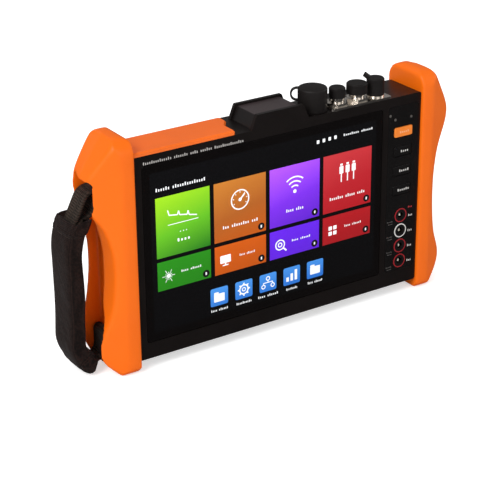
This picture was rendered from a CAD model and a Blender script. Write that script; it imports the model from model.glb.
import math

import bmesh
import bpy
from mathutils import Matrix, Vector, noise


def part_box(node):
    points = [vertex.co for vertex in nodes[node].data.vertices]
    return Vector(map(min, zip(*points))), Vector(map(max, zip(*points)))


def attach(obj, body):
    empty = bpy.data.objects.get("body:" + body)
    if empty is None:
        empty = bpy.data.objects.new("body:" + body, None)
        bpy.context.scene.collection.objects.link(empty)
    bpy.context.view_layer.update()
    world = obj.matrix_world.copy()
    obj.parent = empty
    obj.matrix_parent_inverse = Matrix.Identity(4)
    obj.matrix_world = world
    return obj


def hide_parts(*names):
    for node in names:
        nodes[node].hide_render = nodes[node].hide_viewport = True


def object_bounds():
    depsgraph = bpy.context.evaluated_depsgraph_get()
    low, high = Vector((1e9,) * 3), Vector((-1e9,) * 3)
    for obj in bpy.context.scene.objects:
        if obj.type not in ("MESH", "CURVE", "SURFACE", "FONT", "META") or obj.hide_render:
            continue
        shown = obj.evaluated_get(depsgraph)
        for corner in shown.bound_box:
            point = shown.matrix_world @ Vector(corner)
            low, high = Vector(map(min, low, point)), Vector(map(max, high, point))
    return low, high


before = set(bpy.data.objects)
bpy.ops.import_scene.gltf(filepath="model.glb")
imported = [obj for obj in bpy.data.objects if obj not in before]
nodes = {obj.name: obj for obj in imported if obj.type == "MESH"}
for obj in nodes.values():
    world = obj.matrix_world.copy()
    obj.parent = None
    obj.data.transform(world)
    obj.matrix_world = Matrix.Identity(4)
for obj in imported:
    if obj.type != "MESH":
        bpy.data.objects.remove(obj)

# The look of a hand-held optical time domain reflectometer, built round its CAD frame: materials for
# every CAD piece, the lit screen, the printed marks, the large cap and its pull loop, the sockets' contact
# tips, and the hand strap's webbing and padded sleeve.
# Lengths are written in millimetres and turned into metres by MM.

cad_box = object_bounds()
MM = 0.001
scene = bpy.context.scene


# ---------------------------------------------------------------------------------------------------
# Materials
# ---------------------------------------------------------------------------------------------------
def srgb(red, green, blue):
    """A colour given as it should look on the screen, as the linear colour that Blender wants."""
    def linear(value):
        value /= 255
        return value / 12.92 if value <= 0.04045 else ((value + 0.055) / 1.055) ** 2.4
    return (linear(red), linear(green), linear(blue), 1.0)


def scaled(colour, factor):
    """A lighter or darker version of a colour."""
    return tuple(min(1.0, channel * factor) for channel in colour[:3]) + (1.0,)


class Recipe:
    """A material under construction, with short names for the nodes that the recipes below share."""

    def __init__(self, name):
        self.material = bpy.data.materials.new(name)
        self.material.use_nodes = True
        self.tree = self.material.node_tree
        self.shader = self.tree.nodes["Principled BSDF"]
        self.coords = self.tree.nodes.new("ShaderNodeTexCoord")

    def set(self, **values):
        for name, value in values.items():
            self.shader.inputs[name.replace("_", " ")].default_value = value

    def link(self, source, name):
        self.tree.links.new(source, self.shader.inputs[name])

    def noise(self, scale, detail=3.0, stretch=(1, 1, 1), rough=0.5):
        """Noise in object space, scale in features per metre."""
        place = self.tree.nodes.new("ShaderNodeMapping")
        place.inputs["Scale"].default_value = stretch
        self.tree.links.new(self.coords.outputs["Object"], place.inputs["Vector"])
        texture = self.tree.nodes.new("ShaderNodeTexNoise")
        texture.inputs["Scale"].default_value = scale
        texture.inputs["Detail"].default_value = detail
        texture.inputs["Roughness"].default_value = rough
        self.tree.links.new(place.outputs["Vector"], texture.inputs["Vector"])
        return texture.outputs["Fac"]

    def wave(self, scale, axis, distortion=0.0):
        texture = self.tree.nodes.new("ShaderNodeTexWave")
        texture.bands_direction = axis
        texture.inputs["Scale"].default_value = scale
        texture.inputs["Distortion"].default_value = distortion
        self.tree.links.new(self.coords.outputs["Object"], texture.inputs["Vector"])
        return texture.outputs["Fac"]

    def math(self, operation, first, second):
        node = self.tree.nodes.new("ShaderNodeMath")
        node.operation = operation
        for socket, value in zip(node.inputs, (first, second)):
            if isinstance(value, (int, float)):
                socket.default_value = value
            else:
                self.tree.links.new(value, socket)
        return node.outputs[0]

    def ramp(self, source, *stops):
        """A colour ramp from (position, colour) stops."""
        node = self.tree.nodes.new("ShaderNodeValToRGB")
        elements = node.color_ramp.elements
        while len(elements) < len(stops):
            elements.new(0.5)
        for element, (position, colour) in zip(elements, stops):
            element.position = position
            element.color = colour
        self.tree.links.new(source, node.inputs["Fac"])
        return node.outputs["Color"]

    def span(self, source, low, high):
        """A 0 to 1 value turned into a number between low and high."""
        node = self.tree.nodes.new("ShaderNodeMapRange")
        node.inputs["To Min"].default_value = low
        node.inputs["To Max"].default_value = high
        self.tree.links.new(source, node.inputs["Value"])
        return node.outputs["Result"]

    def bump(self, source, depth, strength=1.0, under=None):
        """A bump of a depth in metres, over another bump when one is given."""
        node = self.tree.nodes.new("ShaderNodeBump")
        node.inputs["Distance"].default_value = depth
        node.inputs["Strength"].default_value = strength
        self.tree.links.new(source, node.inputs["Height"])
        if under is not None:
            self.tree.links.new(under, node.inputs["Normal"])
        return node.outputs["Normal"]


def moulded(name, colour, roughness, grain=2600, depth=0.00003, spread=0.08, gloss=0.5):
    """Moulded plastic or rubber: slightly uneven colour and gloss, and a fine grain."""
    recipe = Recipe(name)
    cloudy = recipe.noise(38, 4)
    darker, lighter = scaled(colour, 1 - spread), scaled(colour, 1 + spread)
    recipe.link(recipe.ramp(cloudy, (0.3, darker), (0.7, lighter)), "Base Color")
    recipe.link(recipe.span(recipe.noise(150, 5), roughness - 0.05, roughness + 0.07), "Roughness")
    recipe.link(recipe.bump(recipe.noise(grain, 2), depth), "Normal")
    recipe.shader.inputs["Specular IOR Level"].default_value = gloss
    return recipe.material


def metal(name, colour, roughness):
    """Metal with fine turning or rolling marks."""
    recipe = Recipe(name)
    marks = recipe.noise(700, 3, stretch=(1, 1, 12))
    recipe.link(recipe.ramp(marks, (0.25, scaled(colour, 0.72)), (0.75, colour)), "Base Color")
    recipe.link(recipe.span(recipe.noise(260, 4), roughness - 0.08, roughness + 0.12), "Roughness")
    recipe.link(recipe.bump(marks, 0.00002), "Normal")
    recipe.set(Metallic=1.0)
    return recipe.material


def woven(name, colour, thread, depth, fuzz):
    """Plain-weave fabric: two sets of threads, thread millimetres wide, with uneven dye and a soft sheen."""
    recipe = Recipe(name)
    pitch = 1 / (thread * MM * math.pi)
    across = recipe.wave(pitch, "Z", 1.2)
    along = recipe.wave(pitch, "Y", 1.2)
    cloth = recipe.math("MULTIPLY", across, along)
    fluff = recipe.noise(620, 5)
    tone = recipe.math("ADD", recipe.math("MULTIPLY", cloth, 0.5), recipe.math("MULTIPLY", fluff, 0.6))
    recipe.link(recipe.ramp(tone, (0.25, scaled(colour, 0.3)), (0.75, scaled(colour, 1.9))), "Base Color")
    creases = recipe.bump(recipe.noise(170, 4), 0.0012, 0.7)
    recipe.link(recipe.bump(tone, depth, 0.8, creases), "Normal")
    recipe.set(Roughness=0.92, Sheen_Weight=fuzz, Sheen_Roughness=0.5)
    recipe.shader.inputs["Specular IOR Level"].default_value = 0.15
    return recipe.material


orange_rubber = moulded("orange_rubber", srgb(255, 112, 4), 0.42, spread=0.03, depth=0.00002, gloss=0.3)
orange_plastic = moulded("orange_plastic", srgb(250, 112, 30), 0.36, spread=0.04, gloss=0.35)
black_shell = moulded("black_shell", srgb(22, 17, 16), 0.36, depth=0.00002, spread=0.15, gloss=0.28)
pod_plastic = moulded("pod_plastic", srgb(60, 50, 51), 0.38, depth=0.00003, spread=0.12)
pod_walls = moulded("pod_walls", srgb(22, 18, 18), 0.4, depth=0.00003, spread=0.12)
cap_rubber = moulded("cap_rubber", srgb(24, 20, 19), 0.55, depth=0.00005, spread=0.15, gloss=0.3)
black_gloss = moulded("black_gloss", srgb(12, 9, 9), 0.12, grain=900, depth=0.000004, spread=0.1, gloss=0.35)
overlay_film = moulded("overlay_film", srgb(18, 16, 16), 0.22, grain=1500, depth=0.000008, spread=0.1)
key_black = moulded("key_black", srgb(19, 17, 17), 0.25, spread=0.1)
power_orange = moulded("power_orange", srgb(255, 138, 44), 0.3, spread=0.05)
socket_red = moulded("socket_red", srgb(168, 30, 38), 0.3, spread=0.1)
socket_white = moulded("socket_white", srgb(226, 224, 220), 0.3, spread=0.04)
socket_black = moulded("socket_black", srgb(20, 18, 19), 0.3, spread=0.1)
board_green = moulded("board_green", srgb(24, 92, 52), 0.4, spread=0.2)
battery_grey = moulded("battery_grey", srgb(70, 72, 76), 0.5, spread=0.1)
grey_plastic = moulded("grey_plastic", srgb(58, 58, 60), 0.45, spread=0.1)
lamp_lens = moulded("lamp_lens", srgb(92, 88, 84), 0.2, spread=0.05)
nickel = metal("nickel", srgb(248, 240, 230), 0.2)
steel = metal("steel", srgb(190, 190, 194), 0.34)
tin = metal("tin", srgb(200, 200, 204), 0.4)
gold = metal("gold", srgb(120, 104, 74), 0.22)
contact_tip = moulded("contact_tip", srgb(255, 246, 228), 0.25, spread=0.05)
pad_fabric = woven("pad_fabric", srgb(32, 20, 17), thread=0.9, depth=0.0003, fuzz=0.05)
webbing_fabric = woven("webbing_fabric", srgb(50, 40, 33), thread=1.5, depth=0.0004, fuzz=0.08)

NODE_MATERIALS = {
    orange_rubber: ["left_grip", "right_grip"],
    orange_plastic: ["top_strip"],
    black_shell: ["front_shell", "rear_shell", "battery_door"],
    pod_plastic: ["pod_cover"],
    black_gloss: ["touch_glass"],
    overlay_film: ["key_overlay"],
    grey_plastic: ["lcd_module", "key_switches", "speaker"],
    power_orange: ["power_key"],
    key_black: ["menu_key", "enter_key", "return_key"],
    board_green: ["key_board", "main_board"],
    lamp_lens: ["status_lamps"],
    socket_white: ["common_socket_ring"],
    socket_red: ["live_socket_rings"],
    socket_black: ["socket_barrels"],
    gold: ["socket_contacts"],
    tin: ["processor_shield", "optics_module"],
    battery_grey: ["battery_pack"],
    steel: ["board_screws", "case_screws", "door_screws", "strap_pins"],
    nickel: ["connector_plate", "video_in_socket", "video_out_socket", "socket_nuts", "power_meter_port",
             "fault_locator_port"],
    cap_rubber: ["power_meter_cap", "video_in_cap", "video_out_cap", "fault_locator_cap"],
}
for paint, names in NODE_MATERIALS.items():
    for name in names:
        mesh = nodes[name].data
        mesh.materials.clear()
        mesh.materials.append(paint)

# The raised block's sloping sides are darker than its sunken lid.
lid = nodes["pod_cover"].data
lid.materials.append(pod_walls)
for polygon in lid.polygons:
    polygon.material_index = 0 if polygon.normal.z > 0.9 else 1

# The case's edges are eased, as moulded edges are.
for name in ("front_shell", "pod_cover", "top_strip", "rear_shell"):
    eased = nodes[name].modifiers.new("eased_edges", "BEVEL")
    eased.limit_method = "ANGLE"
    eased.angle_limit = math.radians(35)
    eased.width = 0.35 * MM
    eased.segments = 2

# The grips are moulded in soft rubber, so every edge of theirs is rounded over.
for name in ("left_grip", "right_grip"):
    even = nodes[name].modifiers.new("even_mesh", "REMESH")
    even.mode = "VOXEL"
    even.voxel_size = 0.9 * MM
    even.use_smooth_shade = True
    soften = nodes[name].modifiers.new("soft_edges", "SMOOTH")
    soften.factor = 0.5
    soften.iterations = 12


# ---------------------------------------------------------------------------------------------------
# Building pieces
# ---------------------------------------------------------------------------------------------------
def finished(name, bm, smooth=True):
    """A named mesh from a bmesh, which is freed."""
    mesh = bpy.data.meshes.new(name)
    bm.to_mesh(mesh)
    bm.free()
    for polygon in mesh.polygons:
        polygon.use_smooth = smooth
    return mesh


def piece(name, mesh, paint, body="case"):
    """A finished mesh as a piece of the object, riding on a body."""
    obj = bpy.data.objects.new(name, mesh)
    scene.collection.objects.link(obj)
    mesh.materials.append(paint)
    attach(obj, body)
    return obj


def printed(name, shapes, level, paint, body="case"):
    """Flat marks that face the user: outlines of (x, z) corners in millimetres, at a depth in metres."""
    bm = bmesh.new()
    for shape in shapes:
        bm.faces.new([bm.verts.new((x * MM, level, z * MM)) for x, z in shape])
    bm.normal_update()
    for face in bm.faces:
        if face.normal.y > 0:
            face.normal_flip()
    return piece(name, finished(name, bm, smooth=False), paint, body)


def joined_rings(bm, rings):
    """The side faces between one ring of vertices and the next."""
    faces = []
    for first, second in zip(rings, rings[1:]):
        for k in range(len(first)):
            after = (k + 1) % len(first)
            faces.append(bm.faces.new((first[k], first[after], second[after], second[k])))
    return faces


def box_shape(x, z, width, height, corner=0.0, steps=4):
    """A rectangle about its middle, with rounded corners."""
    if corner <= 0:
        return [(x - width / 2, z - height / 2), (x + width / 2, z - height / 2),
                (x + width / 2, z + height / 2), (x - width / 2, z + height / 2)]
    points = []
    for quarter, (sx, sz) in enumerate(((1, 1), (-1, 1), (-1, -1), (1, -1))):
        middle = (x + sx * (width / 2 - corner), z + sz * (height / 2 - corner))
        for step in range(steps + 1):
            turn = math.radians(90 * (quarter + step / steps))
            points.append((middle[0] + corner * math.cos(turn), middle[1] + corner * math.sin(turn)))
    return points


def disc_shape(x, z, radius, steps=24):
    """A filled circle."""
    return [(x + radius * math.cos(math.tau * k / steps), z + radius * math.sin(math.tau * k / steps))
            for k in range(steps)]


def ring_shapes(x, z, radius, width, start=0, stop=360, steps=28):
    """An arc of a ring as small quadrilaterals."""
    shapes = []
    for k in range(steps):
        first, second = (math.radians(start + (stop - start) * (k + end) / steps) for end in (0, 1))
        shapes.append([
            (x + (radius - width / 2) * math.cos(first), z + (radius - width / 2) * math.sin(first)),
            (x + (radius + width / 2) * math.cos(first), z + (radius + width / 2) * math.sin(first)),
            (x + (radius + width / 2) * math.cos(second), z + (radius + width / 2) * math.sin(second)),
            (x + (radius - width / 2) * math.cos(second), z + (radius - width / 2) * math.sin(second)),
        ])
    return shapes


def line_shapes(points, width):
    """Straight strokes from point to point."""
    shapes = []
    for (x0, z0), (x1, z1) in zip(points, points[1:]):
        reach = math.hypot(x1 - x0, z1 - z0)
        nx, nz = -(z1 - z0) / reach * width / 2, (x1 - x0) / reach * width / 2
        shapes.append([(x0 + nx, z0 + nz), (x0 - nx, z0 - nz), (x1 - nx, z1 - nz), (x1 + nx, z1 + nz)])
    return shapes


def dashes(x, z, width, height, pattern):
    """A row of small upright blocks, in groups, that stands where the real instrument has words."""
    unit = width / (sum(pattern) + len(pattern) - 1)
    shapes = []
    left = x - width / 2
    for word, length in enumerate(pattern):
        for index in range(length):
            tall = height * (1.0 if (index * 5 + word * 3) % 4 == 0 else 0.72)
            low_by = (height - tall) / 2
            shapes.append(box_shape(left + unit * 0.5, z - low_by, unit * 0.52, tall, unit * 0.14, 2))
            left += unit
        left += unit
    return shapes


# ---------------------------------------------------------------------------------------------------
# The lit screen: a generic menu of coloured tiles under the glass
# ---------------------------------------------------------------------------------------------------
glass_low, glass_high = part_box("touch_glass")
PANEL_WIDTH, PANEL_HEIGHT = 172, 107.6
PANEL_MIDDLE = (82.5, -36.8)
SCREEN_X = (glass_low.x + glass_high.x) / 2 / MM - PANEL_MIDDLE[0]
SCREEN_Z = (glass_low.z + glass_high.z) / 2 / MM - PANEL_MIDDLE[1]
LAYER = 0.03 * MM
PICTURE = glass_low.y - LAYER
TILE_WIDTH, TILE_PITCH = 39.0, 42.0
BIG_HEIGHT, SMALL_HEIGHT, SMALL_TOP = 40.5, 19.7, -43.2
GLOW = 0.35


def at_screen(shapes):
    """Shapes placed from the first tile's top left corner."""
    return [[(x + SCREEN_X, z + SCREEN_Z) for x, z in shape] for shape in shapes]


def lit(name, *stops, tilt=0.25, glow=GLOW):
    """A lit gradient from the bottom of a piece to its top, behind polished glass."""
    recipe = Recipe(name)
    split = recipe.tree.nodes.new("ShaderNodeSeparateXYZ")
    recipe.tree.links.new(recipe.coords.outputs["Generated"], split.inputs[0])
    height = recipe.math("MULTIPLY", split.outputs["Z"], 1 - tilt)
    lean = recipe.math("MULTIPLY", recipe.math("SUBTRACT", 1.0, split.outputs["X"]), tilt)
    colour = recipe.ramp(recipe.math("ADD", height, lean), *stops)
    recipe.link(colour, "Base Color")
    recipe.link(colour, "Emission Color")
    recipe.set(Emission_Strength=glow, Roughness=0.25, Coat_Weight=0.6, Coat_Roughness=0.04)
    return recipe.material


def plain_lit(name, colour, glow):
    """A lit surface of nearly one colour."""
    return lit(name, (0.0, scaled(colour, 0.92)), (1.0, colour), glow=glow)


white_light = plain_lit("white_light", srgb(236, 238, 240), 0.5)
dark_badge = plain_lit("dark_badge", srgb(24, 20, 24), 0.1)
screen_black = lit("screen_black", (0.0, srgb(5, 4, 6)), (1.0, srgb(9, 8, 11)), glow=0.1)
icon_blue = lit("icon_blue", (0.0, srgb(34, 104, 196)), (1.0, srgb(70, 146, 226)))

TILE_COLOURS = [
    ("green", (srgb(34, 118, 24), srgb(98, 186, 30), srgb(160, 222, 24)), srgb(36, 132, 20)),
    ("amber", (srgb(188, 84, 8), srgb(172, 92, 30), srgb(200, 124, 44)), srgb(196, 84, 6)),
    ("violet", (srgb(88, 26, 196), srgb(120, 42, 226), srgb(178, 84, 255)), srgb(96, 30, 220)),
    ("red", (srgb(168, 16, 26), srgb(178, 28, 38), srgb(196, 52, 58)), srgb(164, 18, 26)),
]

printed("screen_ground", at_screen([box_shape(*PANEL_MIDDLE, PANEL_WIDTH, PANEL_HEIGHT)]), PICTURE,
        screen_black)
for column, (name, (low, middle, high), small) in enumerate(TILE_COLOURS):
    x = column * TILE_PITCH + TILE_WIDTH / 2
    paint = lit(f"tile_{name}", (0.0, low), (0.45, middle), (1.0, high), tilt=0.2)
    printed(f"tile_{name}", at_screen([box_shape(x, -BIG_HEIGHT / 2, TILE_WIDTH, BIG_HEIGHT)]),
            PICTURE - LAYER, paint)
    paint = lit(f"small_tile_{name}", (0.0, scaled(small, 0.85)), (1.0, scaled(small, 1.1)))
    printed(f"small_tile_{name}",
            at_screen([box_shape(x, SMALL_TOP - SMALL_HEIGHT / 2, TILE_WIDTH, SMALL_HEIGHT)]),
            PICTURE - LAYER, paint)


def trace_glyph(x, z):
    """A falling measurement trace with two peaks and an end."""
    trace = [(-11, 5), (-10, 1.5), (-4, 0.6), (-3.2, 3), (-2.4, 0.2), (3, -0.8), (3.6, 1.6), (4.4, -1.3),
             (10, -2.6)]
    marks = line_shapes([(x + px, z + pz) for px, pz in trace], 0.8)
    return marks + line_shapes([(x - 11, z - 5), (x + 11, z - 5)], 0.5)


def dial_glyph(x, z):
    """A round gauge with a needle."""
    marks = ring_shapes(x, z, 6.5, 0.9)
    marks += line_shapes([(x, z), (x + 3.4, z + 3.4)], 1.1)
    marks.append(disc_shape(x, z, 1.2))
    for turn in range(-30, 211, 40):
        c, q = math.cos(math.radians(turn)), math.sin(math.radians(turn))
        marks += line_shapes([(x + 4.6 * c, z + 4.6 * q), (x + 5.6 * c, z + 5.6 * q)], 0.5)
    return marks


def waves_glyph(x, z):
    """A point that sends out arcs."""
    marks = [disc_shape(x, z - 4, 1.3)]
    for radius in (4, 7, 10):
        marks += ring_shapes(x, z - 4, radius, 1.0, 50, 130, 14)
    return marks


def plugs_glyph(x, z):
    """Three plugs side by side on their leads."""
    marks = []
    for step in (-5, 0, 5):
        marks.append(box_shape(x + step, z + 2.5, 3.2, 5.2, 0.5))
        marks.append(box_shape(x + step, z + 6.2, 2.0, 1.4))
        marks += line_shapes([(x + step, z), (x + step, z - 6)], 0.9)
    return marks


def star_glyph(x, z):
    """A point of light with thin rays."""
    marks = [disc_shape(x, z, 1.1)]
    for turn in range(0, 180, 30):
        c, q = math.cos(math.radians(turn)), math.sin(math.radians(turn))
        reach = 4.6 if turn % 60 == 0 else 2.8
        marks += line_shapes([(x - reach * c, z - reach * q), (x + reach * c, z + reach * q)], 0.35)
    return marks


def screen_glyph(x, z):
    """A monitor on its foot."""
    marks = [box_shape(x, z + 0.8, 8, 5.4, 0.6), box_shape(x, z - 3.4, 4.4, 0.8)]
    return marks + line_shapes([(x, z - 1.8), (x, z - 3.2)], 1.0)


def lens_glyph(x, z):
    """A magnifying glass."""
    marks = ring_shapes(x, z, 3.4, 0.9) + ring_shapes(x, z, 1.4, 0.8)
    return marks + line_shapes([(x + 2.6, z - 2.6), (x + 5, z - 5)], 1.1)


def blocks_glyph(x, z):
    """Four small squares."""
    return [box_shape(x + dx, z + dz, 2.8, 2.8, 0.4) for dx in (-1.9, 1.9) for dz in (-1.9, 1.9)]


def folder_glyph(x, z):
    """A folder with its tab."""
    return [box_shape(x, z - 0.8, 8.0, 5.6, 0.5), box_shape(x - 2.2, z + 2.6, 3.4, 1.4, 0.3)]


def gear_glyph(x, z):
    """A toothed wheel."""
    marks = ring_shapes(x, z, 3.2, 1.0) + ring_shapes(x, z, 1.2, 0.7)
    for turn in range(0, 360, 45):
        c, q = math.cos(math.radians(turn)), math.sin(math.radians(turn))
        marks += line_shapes([(x + 3.5 * c, z + 3.5 * q), (x + 4.7 * c, z + 4.7 * q)], 1.0)
    return marks


def network_glyph(x, z):
    """Three points joined by lines."""
    marks = []
    for px, pz in ((0, 2.8), (-3.6, -2.6), (3.6, -2.6)):
        marks += ring_shapes(x + px, z + pz, 1.3, 0.7, steps=16)
    lines = [((0, 1.2), (0, 0)), ((-3.6, 0), (3.6, 0)), ((-3.6, 0), (-3.6, -1.1)), ((3.6, 0), (3.6, -1.1))]
    for ends in lines:
        marks += line_shapes([(x + px, z + pz) for px, pz in ends], 0.6)
    return marks


def bars_glyph(x, z):
    """Three bars of growing height."""
    bars = ((-3.3, 3.0), (0, 5.2), (3.3, 7.4))
    return [box_shape(x + step, z - 3.7 + tall / 2, 2.0, tall) for step, tall in bars]


# Each large tile has a glyph, and under it a row of blocks: its width and its groups.
BIG_TILES = [
    (trace_glyph, 10, (4,)),
    (dial_glyph, 27, (3, 8, 3)),
    (waves_glyph, 14, (4, 4)),
    (plugs_glyph, 29, (7, 5, 4)),
]
SMALL_TILES = [(star_glyph, 15), (screen_glyph, 12), (lens_glyph, 15), (blocks_glyph, 14)]
ICONS = [
    (folder_glyph, 13, (4, 6)),
    (gear_glyph, 12, (10,)),
    (network_glyph, 16, (4, 6)),
    (bars_glyph, 9, (10,)),
    (folder_glyph, 12, (4, 6)),
]
white_marks = []
for column, (glyph, wide, words) in enumerate(BIG_TILES):
    x = column * TILE_PITCH + TILE_WIDTH / 2
    white_marks += glyph(x, -14.5)
    white_marks += dashes(x, -31.0, wide, 2.2, words)
for step in (-2.2, 0, 2.2):
    white_marks.append(disc_shape(TILE_WIDTH / 2 + step, -25.5, 0.4, 12))
for column, (glyph, wide) in enumerate(SMALL_TILES):
    x = column * TILE_PITCH + 8
    white_marks += glyph(x, SMALL_TOP - 10.5)
    white_marks += dashes(x + 16.5, SMALL_TOP - 9.5, wide, 1.6, (4, 6))
ICON_PITCH, ICON_LEFT, ICON_TOP = 18.8, 38.3, -71.7
icons = []
for index, (glyph, wide, words) in enumerate(ICONS):
    x, z = ICON_LEFT + 6.6 + ICON_PITCH * index, ICON_TOP - 6.3
    icons.append(box_shape(x, z, 13.2, 12.6, 1.2))
    white_marks += dashes(x, ICON_TOP - 15.6, wide, 1.7, words) + glyph(x, z)
printed("icon_squares", at_screen(icons), PICTURE - LAYER, icon_blue)

# The screen's heading, its row of status signs, and a numbered badge's place on all tiles but the first.
white_marks += dashes(18.2, 5.4, 36, 2.3, (6, 14))
for step in range(4):
    white_marks.append(box_shape(121.5 + step * 4.6, 11.4 + 0.15 * step, 2.0, 2.4, 0.3, 2))
white_marks += dashes(153.5, 12.0, 24, 1.6, (8, 6))
badges, badge_marks = [], []
for column in range(4):
    levels = (3.7 - BIG_HEIGHT, SMALL_TOP - SMALL_HEIGHT + 3.6)
    for z in levels[1:] if column == 0 else levels:
        x = column * TILE_PITCH + TILE_WIDTH - 3.6
        badges.append(disc_shape(x, z, 2.5))
        badge_marks.append(box_shape(x, z, 1.0, 2.0, 0.3, 2))
printed("tile_badges", at_screen(badges), PICTURE - LAYER * 2, dark_badge)
printed("screen_marks", at_screen(white_marks), PICTURE - LAYER * 2, white_light)
printed("badge_marks", at_screen(badge_marks), PICTURE - LAYER * 3, white_light)

# ---------------------------------------------------------------------------------------------------
# Printed marks on the case and its key column
# ---------------------------------------------------------------------------------------------------
ink_white = moulded("ink_white", srgb(214, 212, 208), 0.5, spread=0.04)
ink_silver = moulded("ink_silver", srgb(190, 186, 182), 0.5, spread=0.04)
ink_grey = moulded("ink_grey", srgb(96, 92, 90), 0.5, spread=0.05)
ink_red = moulded("ink_red", srgb(196, 48, 50), 0.5, spread=0.05)
ink_peach = moulded("ink_peach", srgb(255, 196, 150), 0.4, spread=0.03)


def face_of(name):
    """A node's middle in x and z, in millimetres, and its front level in metres."""
    low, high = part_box(name)
    return (low.x + high.x) / 2 / MM, (low.z + high.z) / 2 / MM, low.y


case_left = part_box("front_shell")[0].x / MM
title = dashes(case_left + 42.7, 139.5, 72.5, 1.9, (14, 7, 4, 6, 15))
printed("case_title", title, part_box("front_shell")[0].y - LAYER, ink_silver)

column_x, z, level = face_of("power_key")
legend = dashes(column_x + 0.6, z, 8.0, 1.5, (5,))
printed("power_legend", legend, level - LAYER, ink_peach, "power_key")
for name, blocks in (("menu", 4), ("enter", 5), ("return", 6)):
    x, z, level = face_of(f"{name}_key")
    legend = dashes(x + 1.6, z, 1.7 * blocks, 1.8, (blocks,))
    printed(f"{name}_legend", legend, level - LAYER, ink_white, f"{name}_key")

SOCKETS, SOCKET_RADIUS = 4, 5.0
overlay_mark = face_of("key_overlay")[2] - LAYER
ring_low, ring_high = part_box("live_socket_rings")
top_socket = ring_high.z / MM - SOCKET_RADIUS
PITCH = (top_socket - SOCKET_RADIUS - ring_low.z / MM) / (SOCKETS - 1)
side_marks, dim_marks = [], []
for index in range(SOCKETS):
    z = top_socket - PITCH * index
    side_marks += dashes(column_x + 8.4, z - 1.6, 4.0, 1.7, (3,))
    dim_marks += dashes(column_x - 9.0, z - 3.2, 5.0, 0.9, (6,))
    dim_marks += dashes(column_x - 8.6, z - 5.0, 3.8, 0.8, (5,))
live_mark = dashes(column_x + 8.0, top_socket + 4.6, 4.0, 1.4, (3,))
printed("socket_marks", side_marks, overlay_mark, ink_white)
printed("socket_notes", dim_marks, overlay_mark, ink_grey)
printed("live_mark", live_mark, overlay_mark, ink_red)

# ---------------------------------------------------------------------------------------------------
# Large rubber cap, with its round-backed pull loop
# ---------------------------------------------------------------------------------------------------
CAP_WALL, CAP_EDGE, CAP_DOME, CAP_STEPS = 1.2, 1.5, 0.6, 96
LOOP_REACH, LOOP_TALL, LOOP_BAND, LOOP_WIDTH, LOOP_STEPS = 5.1, 9.4, 1.2, 2.6, 24
LOOP_DROP, LOOP_ROOT = 0.6, 0.8
LOOP_TURN = Matrix.Rotation(math.radians(-33), 3, "Z")
cap_low, cap_high = (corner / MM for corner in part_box("power_meter_cap"))
cap_radius = (cap_high.y - cap_low.y) / 2
cap_middle = Vector((cap_high.x - cap_radius, (cap_low.y + cap_high.y) / 2, cap_low.z))
cap_tall = cap_high.z - cap_low.z - 0.2


def turned_cap(bm):
    """The cap's shell: a turned wall with a round shoulder, a slight dome and a hollow inside."""
    inner, edge_radius = cap_radius - CAP_WALL, cap_radius - CAP_EDGE
    edge_level = cap_tall - CAP_DOME - CAP_EDGE
    profile = [(inner, cap_tall - CAP_DOME - CAP_WALL * 1.6), (inner, 0.0)]
    profile += [(cap_radius - 0.2, 0.0), (cap_radius, 0.3)]
    for step in range(7):
        turn = math.radians(90 - 15 * step)
        profile.append((edge_radius + CAP_EDGE * math.sin(turn), edge_level + CAP_EDGE * math.cos(turn)))
    for share, sunk in ((0.55, 0.3), (0.25, 0.05)):
        profile.append((cap_radius * share, cap_tall - CAP_DOME * sunk))
    rings = []
    for radius, level in profile:
        rings.append([])
        for k in range(CAP_STEPS):
            c, q = math.cos(math.tau * k / CAP_STEPS), math.sin(math.tau * k / CAP_STEPS)
            rings[-1].append(bm.verts.new((cap_middle + Vector((radius * c, radius * q, level))) * MM))
    joined_rings(bm, rings)
    bm.faces.new(rings[-1])
    bm.faces.new(rings[0][::-1])
    bmesh.ops.recalc_face_normals(bm, faces=bm.faces)


def pull_loop(bm):
    """A flat band that leaves the cap's rim, turns round and comes back to its wall."""
    section = ((1, 0.8), (1, -0.8), (0.5, -1), (-0.5, -1), (-1, -0.8), (-1, 0.8), (-0.5, 1), (0.5, 1))
    side = LOOP_TURN @ Vector((0, LOOP_WIDTH / 2, 0))
    middle_z = cap_tall - LOOP_DROP - LOOP_TALL / 2
    path = []
    for k in range(LOOP_STEPS + 1):
        turn = math.pi * k / LOOP_STEPS
        path.append((LOOP_ROOT - cap_radius - LOOP_REACH * math.sin(turn) ** 0.7,
                     middle_z + (LOOP_TALL - LOOP_BAND) / 2 * math.cos(turn)))
    rings = []
    for k, (x, z) in enumerate(path):
        ahead, behind = path[min(k + 1, LOOP_STEPS)], path[max(k - 1, 0)]
        out = Vector((ahead[1] - behind[1], 0, behind[0] - ahead[0])).normalized() * LOOP_BAND / 2
        out = LOOP_TURN @ out
        centre = cap_middle + LOOP_TURN @ Vector((x, 0, z))
        rings.append([bm.verts.new((centre + out * across + side * along) * MM) for across, along in section])
    faces = joined_rings(bm, rings)
    faces += [bm.faces.new(rings[0][::-1]), bm.faces.new(rings[-1])]
    bmesh.ops.recalc_face_normals(bm, faces=faces)


cap_shape = bmesh.new()
turned_cap(cap_shape)
pull_loop(cap_shape)
cap_mesh = finished("large_cap", cap_shape)
cap_mesh.set_sharp_from_angle(angle=math.radians(50))
large_cap = piece("large_cap", cap_mesh, cap_rubber, "power_meter_cap")
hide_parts("power_meter_cap")

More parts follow.
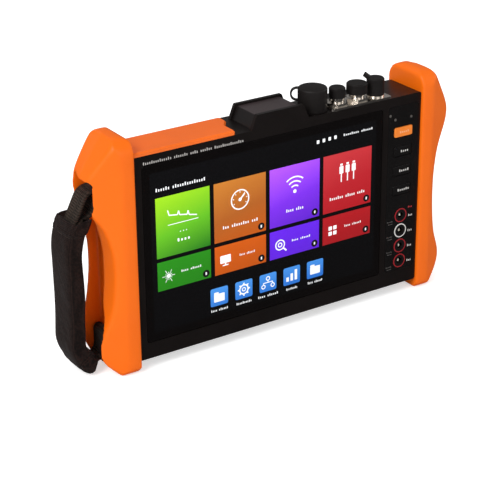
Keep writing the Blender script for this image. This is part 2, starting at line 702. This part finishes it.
# Each socket's contact has a small bright tip in its middle.
tip_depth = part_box("socket_contacts")[0].y / MM + 0.4
tip_size = Matrix.Diagonal((0.75 * MM, 0.7 * MM, 1.15 * MM, 1))
tips = bmesh.new()
for index in range(SOCKETS):
    centre = Vector((column_x, tip_depth, top_socket - PITCH * index)) * MM
    bmesh.ops.create_uvsphere(tips, u_segments=20, v_segments=12, radius=1.0,
                              matrix=Matrix.Translation(centre) @ tip_size)
piece("contact_tips", finished("contact_tips", tips), contact_tip)

# ---------------------------------------------------------------------------------------------------
# Hand strap: a ribbed webbing and a padded sleeve
# ---------------------------------------------------------------------------------------------------
pin_low, pin_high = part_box("strap_pins")
PIN_RADIUS = 1.75
UPPER_PIN = (pin_low.x / MM + PIN_RADIUS, pin_high.z / MM - PIN_RADIUS)
LOWER_PIN = (pin_high.x / MM - PIN_RADIUS, pin_low.z / MM + PIN_RADIUS)
web_low, web_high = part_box("strap_webbing")
STRAP_DEPTH = (web_low.y + web_high.y) / 2 / MM
WEB_WIDTH, WEB_THICKNESS, RIBS = 14.0, 1.4, 8
PIN_GAP = 0.2
WRAP = PIN_RADIUS + PIN_GAP + WEB_THICKNESS / 2


def strap_route():
    """The webbing's middle line in (x, z), each corner with its radius."""
    upper_top, lower_top = UPPER_PIN[1] + WRAP, LOWER_PIN[1] + WRAP
    return [
        (UPPER_PIN[0] + WRAP, UPPER_PIN[1] - 9.0, 0),
        (UPPER_PIN[0] + WRAP, upper_top, WRAP - 0.15),
        (case_left - 22.0, upper_top, 9.0),
        (case_left - 37.2, 91.0, 45.0),
        (case_left - 36.2, 52.0, 45.0),
        (case_left - 37.6, 18.0, 18.0),
        (case_left - 28.0, 4.4, 8.0),
        (LOWER_PIN[0] - WRAP, 8.2, 6.0),
        (LOWER_PIN[0] - WRAP, lower_top, WRAP - 0.15),
        (LOWER_PIN[0] + WRAP, lower_top, WRAP - 0.15),
        (LOWER_PIN[0] + WRAP, LOWER_PIN[1] - 9.0, 0),
    ]


def rounded(route, spacing):
    """The route with its corners rounded, as evenly spaced points."""
    points = []
    for index, (x, z, radius) in enumerate(route):
        corner = Vector((x, 0, z))
        if radius == 0:
            points.append(corner)
            continue
        before = (Vector((route[index - 1][0], 0, route[index - 1][1])) - corner).normalized()
        after = (Vector((route[index + 1][0], 0, route[index + 1][1])) - corner).normalized()
        half = before.angle(after) / 2
        reach = radius / math.tan(half)
        centre = corner + (before + after).normalized() * (radius / math.sin(half))
        first, last = corner + before * reach - centre, corner + after * reach - centre
        steps = max(3, int(first.angle(last) * radius / 0.8))
        for step in range(steps + 1):
            points.append(centre + first.lerp(last, step / steps).normalized() * radius)
    runs = [0.0]
    for first, second in zip(points, points[1:]):
        runs.append(runs[-1] + (second - first).length)
    count = max(2, round(runs[-1] / spacing))
    result, segment = [], 0
    for step in range(count + 1):
        target = runs[-1] * step / count
        while segment < len(runs) - 2 and runs[segment + 1] < target:
            segment += 1
        length = runs[segment + 1] - runs[segment]
        share = 0 if length == 0 else (target - runs[segment]) / length
        result.append(points[segment].lerp(points[segment + 1], share))
    return result


def directions(points):
    """The unit direction of travel at each point."""
    last = len(points) - 1
    return [(points[min(k + 1, last)] - points[max(k - 1, 0)]).normalized() for k in range(last + 1)]


def webbing_section():
    """Flat webbing, as (out, along its width) corners, with ribs and slightly thicker edges."""
    steps = RIBS * 6
    upper, lower = [], []
    for k in range(steps + 1):
        across = k / steps
        rib = 0.11 * math.cos(across * RIBS * math.tau) - 0.05
        edge = 0.14 if min(across, 1 - across) < 0.06 else 0.0
        taper = 0.55 if k in (0, steps) else 1.0
        y = STRAP_DEPTH + (across - 0.5) * WEB_WIDTH
        upper.append(((WEB_THICKNESS / 2 + rib + edge) * taper, y))
        lower.append((-(WEB_THICKNESS / 2 + rib + edge) * taper, y))
    return upper + lower[::-1]


def webbing_along(name, corners):
    """A length of webbing that follows a route."""
    points = rounded(corners, 0.7)
    section = webbing_section()
    bm = bmesh.new()
    rings = []
    for point, along in zip(points, directions(points)):
        across = Vector((along.z, 0, -along.x))
        rings.append([bm.verts.new((point + across * offset + Vector((0, y, 0))) * MM)
                      for offset, y in section])
    joined_rings(bm, rings)
    bm.faces.new(rings[0][::-1])
    bm.faces.new(rings[-1])
    bmesh.ops.recalc_face_normals(bm, faces=bm.faces)
    return piece(name, finished(name, bm), webbing_fabric)


route = strap_route()
webbing = webbing_along("webbing", route)
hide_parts("strap_webbing")

# The webbing is doubled at the top: its tail comes back from the pin, slack, under the outer layer.
tail = [
    (UPPER_PIN[0] + 1.0, UPPER_PIN[1] - WRAP, 0),
    (UPPER_PIN[0] - 4.0, UPPER_PIN[1] - WRAP - 0.5, 4.0),
    (case_left - 17.5, UPPER_PIN[1] - 16.0, 8.0),
    (case_left - 29.0, 105.0, 8.0),
    (case_left - 33.0, 96.0, 0),
]
webbing_along("webbing_tail", tail)

# The padded sleeve runs along the middle of the route, between two gathered hems.
PAD_TOP, PAD_BOTTOM, PAD_END_OUT = 105.3, 3.0, 27.0
PAD_HALF_WIDTH, PAD_HALF_THICKNESS = 12.6, 5.9
PAD_INWARD = 1.6
HEM = 0.085
AROUND, SQUARENESS = 56, 0.42
GATHER, CREASE, RAGGED = 1.3, 0.7, 2.2
FLOOR_GAP = 0.6
# Each ring of a mouth is a place along the sleeve and a share of the section's size.
MOUTH_RINGS = ((4, 0.62), (2, 0.74), (0, 0.86))
SWELL_LIMIT = 1.3 * MM


def pad_line():
    """The sleeve's middle line: the part of the route between its two ends."""
    middle = rounded(route, 1.0)
    turn = min(range(len(middle)), key=lambda k: middle[k].x)
    upper = [point for point in middle[:turn + 1] if point.z <= PAD_TOP]
    end = case_left - PAD_END_OUT
    lower = [point for point in middle[turn + 1:] if point.z >= PAD_BOTTOM and point.x < end]
    return upper + lower


def smooth_step(low, high, value):
    """From 0 at low to 1 at high, with soft ends."""
    share = min(1.0, max(0.0, (value - low) / (high - low)))
    return share * share * (3 - 2 * share)


line = pad_line()
pad_ways = directions(line)
LAST = len(line) - 1


def hem_share(ring):
    """One at the sleeve's two ends, and nothing beyond their hems."""
    share = ring / LAST
    return 1 - smooth_step(HEM * 0.92, HEM * 1.08, min(share, 1 - share))


def pad_ring(ring, scale):
    """The sleeve's flat section with round corners, a little larger at the hems."""
    along = pad_ways[ring]
    level = 1 - smooth_step(0.0, 0.3, ring / LAST)
    across = Vector((along.z, 0, -along.x)).lerp(Vector((-1, 0, 0)), level).normalized()
    flare = 1 + 0.06 * hem_share(ring)
    corners = []
    for k in range(AROUND):
        c, q = math.cos(math.tau * k / AROUND), math.sin(math.tau * k / AROUND)
        offset = math.copysign(abs(c) ** SQUARENESS, c) * PAD_HALF_THICKNESS * flare * scale
        y = math.copysign(abs(q) ** SQUARENESS, q) * PAD_HALF_WIDTH * flare * (0.5 + 0.5 * scale)
        corners.append((line[ring] + across * offset + Vector((PAD_INWARD, STRAP_DEPTH + y, 0))) * MM)
    return corners


# Each end is an open mouth: the cloth turns in and back towards the webbing.
ring_order = list(MOUTH_RINGS) + [(ring, 1.0) for ring in range(LAST + 1)]
ring_order += [(LAST - at, scale) for at, scale in MOUTH_RINGS[::-1]]
bm = bmesh.new()
rings = [[bm.verts.new(place) for place in pad_ring(ring, scale)] for ring, scale in ring_order]
joined_rings(bm, rings)
bm.faces.new(rings[0][::-1])
bm.faces.new(rings[-1])
bmesh.ops.recalc_face_normals(bm, faces=bm.faces)
pad_mesh = finished("strap_sleeve", bm)
pad = piece("strap_sleeve", pad_mesh, pad_fabric)
rest = [vertex.co.copy() for vertex in pad_mesh.vertices]

pins = pad.vertex_groups.new(name="pins")
for index, (ring, scale) in enumerate(ring_order):
    for k in range(AROUND):
        c, q = math.cos(math.tau * k / AROUND), math.sin(math.tau * k / AROUND)
        fold = min(abs(c), abs(q)) > 0.18
        weight = 1.0 if scale < 1 or hem_share(ring) > 0.3 else 0.9 if fold else 0.0
        if weight:
            pins.add([index * AROUND + k], weight, "REPLACE")
cloth = pad.modifiers.new("swell", "CLOTH")
settings = cloth.settings
settings.quality = 6
settings.mass = 0.2
settings.tension_stiffness = 8
settings.compression_stiffness = 4
settings.shear_stiffness = 2
settings.bending_stiffness = 0.1
settings.use_pressure = True
settings.uniform_pressure_force = 60
settings.vertex_group_mass = "pins"
settings.effector_weights.gravity = 0
for number in range(1, 21):
    scene.frame_set(number)
swollen = pad.evaluated_get(bpy.context.evaluated_depsgraph_get()).data
moved = []
for vertex, start in zip(swollen.vertices, rest):
    step = vertex.co - start
    if step.length > SWELL_LIMIT:
        step *= SWELL_LIMIT / step.length
    moved.append(start + step)
pad.modifiers.remove(cloth)
for vertex, place in zip(pad_mesh.vertices, moved):
    vertex.co = place
scene.frame_set(1)

# Gathers at the hems, their step down to the sleeve, and soft creases along it.
for index, vertex in enumerate(pad_mesh.vertices):
    ring = ring_order[index // AROUND][0]
    hem = hem_share(ring)
    middle = line[ring] * MM
    outward = (rest[index] - Vector((middle.x, STRAP_DEPTH * MM, middle.z))).normalized()
    turn = math.tau * (index % AROUND) / AROUND
    gather = noise.noise(Vector((math.cos(turn) * 5.2, math.sin(turn) * 5.2, ring * 0.3)))
    crease = noise.noise(Vector((vertex.co.x * 110, vertex.co.y * 110, vertex.co.z * 45 + 9)))
    ragged = noise.noise(Vector((math.cos(turn) * 2.2 + 7, math.sin(turn) * 2.2, 0.5)))
    end = 1 - smooth_step(0, HEM, min(ring, LAST - ring) / LAST)
    vertex.co += outward * MM * (hem * (0.4 + GATHER * gather) + (1 - hem) * CREASE * crease)
    side = 1 if ring < LAST / 2 else -1
    vertex.co += pad_ways[ring] * (side * end * ragged * RAGGED * MM)
    vertex.co.z = max(vertex.co.z, FLOOR_GAP * MM)
subdivide = pad.modifiers.new("smooth", "SUBSURF")
subdivide.levels = subdivide.render_levels = 1
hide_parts("strap_pad")


def stitches(name, share):
    """A row of thread stitches round the sleeve at one place along it."""
    ring = round(share * LAST)
    middle = Vector((line[ring].x, STRAP_DEPTH, line[ring].z)) * MM
    first = (len(MOUTH_RINGS) + ring) * AROUND
    loop = [pad_mesh.vertices[first + k].co for k in range(AROUND)]
    thread = Matrix.Diagonal((0.22 * MM, 0.22 * MM, 0.62 * MM, 1))
    bm = bmesh.new()
    spare, gap = 0.0, 1.9 * MM
    for start, end in zip(loop, loop[1:] + loop[:1]):
        along = end - start
        while spare < along.length:
            centre = start + along * (spare / along.length)
            centre += (centre - middle).normalized() * 0.1 * MM
            turn = along.to_track_quat("Z", "Y").to_matrix().to_4x4()
            bmesh.ops.create_uvsphere(bm, u_segments=6, v_segments=5, radius=1.0,
                                      matrix=Matrix.Translation(centre) @ turn @ thread)
            spare += gap
        spare -= along.length
    return piece(name, finished(name, bm), webbing_fabric)


stitches("upper_stitches", HEM * 1.15)
stitches("lower_stitches", 1 - HEM * 1.15)

# ---------------------------------------------------------------------------------------------------
# Floor, light and camera
# ---------------------------------------------------------------------------------------------------
low, high = cad_box
FLOOR_REACH, FLOOR_DROP = 4.0, 0.0004
corners = [(x * FLOOR_REACH, y * FLOOR_REACH, 0) for x, y in ((-1, -1), (1, -1), (1, 1), (-1, 1))]
floor_mesh = bpy.data.meshes.new("floor")
floor_mesh.from_pydata(corners, [], [(0, 1, 2, 3)])
floor = bpy.data.objects.new("floor", floor_mesh)
scene.collection.objects.link(floor)
floor.location.z = low.z - FLOOR_DROP

# Seen directly the floor is nearly white, and in reflections it is dark, so that black stays black.
floor_paint = bpy.data.materials.new("floor_paint")
floor_paint.use_nodes = True
tree = floor_paint.node_tree
surface = tree.nodes["Principled BSDF"]
surface.inputs["Base Color"].default_value = (0.86, 0.86, 0.86, 1)
surface.inputs["Roughness"].default_value = 0.9
glowing = tree.nodes.new("ShaderNodeEmission")
glowing.inputs["Color"].default_value = (1, 1, 1, 1)
rays = tree.nodes.new("ShaderNodeLightPath")
amount = tree.nodes.new("ShaderNodeMath")
amount.operation = "MULTIPLY"
amount.inputs[1].default_value = 0.55
tree.links.new(rays.outputs["Is Camera Ray"], amount.inputs[0])
tree.links.new(amount.outputs[0], glowing.inputs["Strength"])
both = tree.nodes.new("ShaderNodeAddShader")
tree.links.new(surface.outputs[0], both.inputs[0])
tree.links.new(glowing.outputs[0], both.inputs[1])
unseen = tree.nodes.new("ShaderNodeEmission")
unseen.inputs["Color"].default_value = (0.05, 0.05, 0.05, 1)
mirror = tree.nodes.new("ShaderNodeMixShader")
tree.links.new(rays.outputs["Is Glossy Ray"], mirror.inputs["Fac"])
tree.links.new(both.outputs[0], mirror.inputs[1])
tree.links.new(unseen.outputs[0], mirror.inputs[2])
tree.links.new(mirror.outputs[0], tree.nodes["Material Output"].inputs["Surface"])
floor_mesh.materials.append(floor_paint)

world = bpy.data.worlds.new("studio")
scene.world = world
world.use_nodes = True
tree = world.node_tree
background = tree.nodes["Background"]
background.inputs["Color"].default_value = (1, 1, 1, 1)
rays = tree.nodes.new("ShaderNodeLightPath")

# The world's strength for each kind of ray, added up: ray * weight + what came before.
RAY_WEIGHTS = [
    ("Is Camera Ray", 1.0),
    ("Is Transmission Ray", 1.0),
    ("Is Diffuse Ray", 0.44),
    ("Is Glossy Ray", 0.22),
]
strength = None
for ray, weight in RAY_WEIGHTS:
    total = tree.nodes.new("ShaderNodeMath")
    total.operation = "MULTIPLY_ADD"
    total.inputs[1].default_value = weight
    total.inputs[2].default_value = 0.0
    tree.links.new(rays.outputs[ray], total.inputs[0])
    if strength is not None:
        tree.links.new(strength, total.inputs[2])
    strength = total.outputs[0]
tree.links.new(strength, background.inputs["Strength"])


def lamp(name, place, size, power):
    """A soft square lamp that points at the middle of the object."""
    light = bpy.data.lights.new(name, "AREA")
    light.size = size
    light.energy = power
    obj = bpy.data.objects.new(name, light)
    scene.collection.objects.link(obj)
    obj.location = place
    aim = (low + high) / 2 - Vector(place)
    obj.rotation_euler = aim.to_track_quat("-Z", "Y").to_euler()
    return obj


lamp("key_light", (-1.5, -0.7, 1.3), 0.9, 24)
lamp("fill_light", (0.1, -1.9, 0.5), 1.2, 6)
lamp("side_light", (1.7, -0.5, 0.7), 1.0, 5)
lamp("rim_light", (-0.1, 1.3, 1.7), 1.0, 8).visible_glossy = False
lamp("back_light", (-0.1, 2.2, 0.38), 0.6, 6).visible_glossy = False

# The camera is fitted to the photograph.
YAW, PITCH_DOWN, ROLL = math.radians(33.0), math.radians(24.3), math.radians(0.46)
CAMERA_PLACE = (-0.5425, -0.8180, 0.4949)
flat = math.cos(PITCH_DOWN)
forward = Vector((math.sin(YAW) * flat, math.cos(YAW) * flat, -math.sin(PITCH_DOWN)))
right = Vector((math.cos(YAW), -math.sin(YAW), 0))
down = forward.cross(right)
right, down = (right * math.cos(ROLL) + down * math.sin(ROLL), down * math.cos(ROLL) - right * math.sin(ROLL))
camera_data = bpy.data.cameras.new("camera")
camera_data.lens = 117.4
camera_data.sensor_width = 36
camera_data.clip_end = 20
camera = bpy.data.objects.new("camera", camera_data)
scene.collection.objects.link(camera)
camera.matrix_world = Matrix((
    (right.x, -down.x, -forward.x, CAMERA_PLACE[0]),
    (right.y, -down.y, -forward.y, CAMERA_PLACE[1]),
    (right.z, -down.z, -forward.z, CAMERA_PLACE[2]),
    (0, 0, 0, 1),
))
scene.camera = camera
scene.view_settings.view_transform = "Standard"
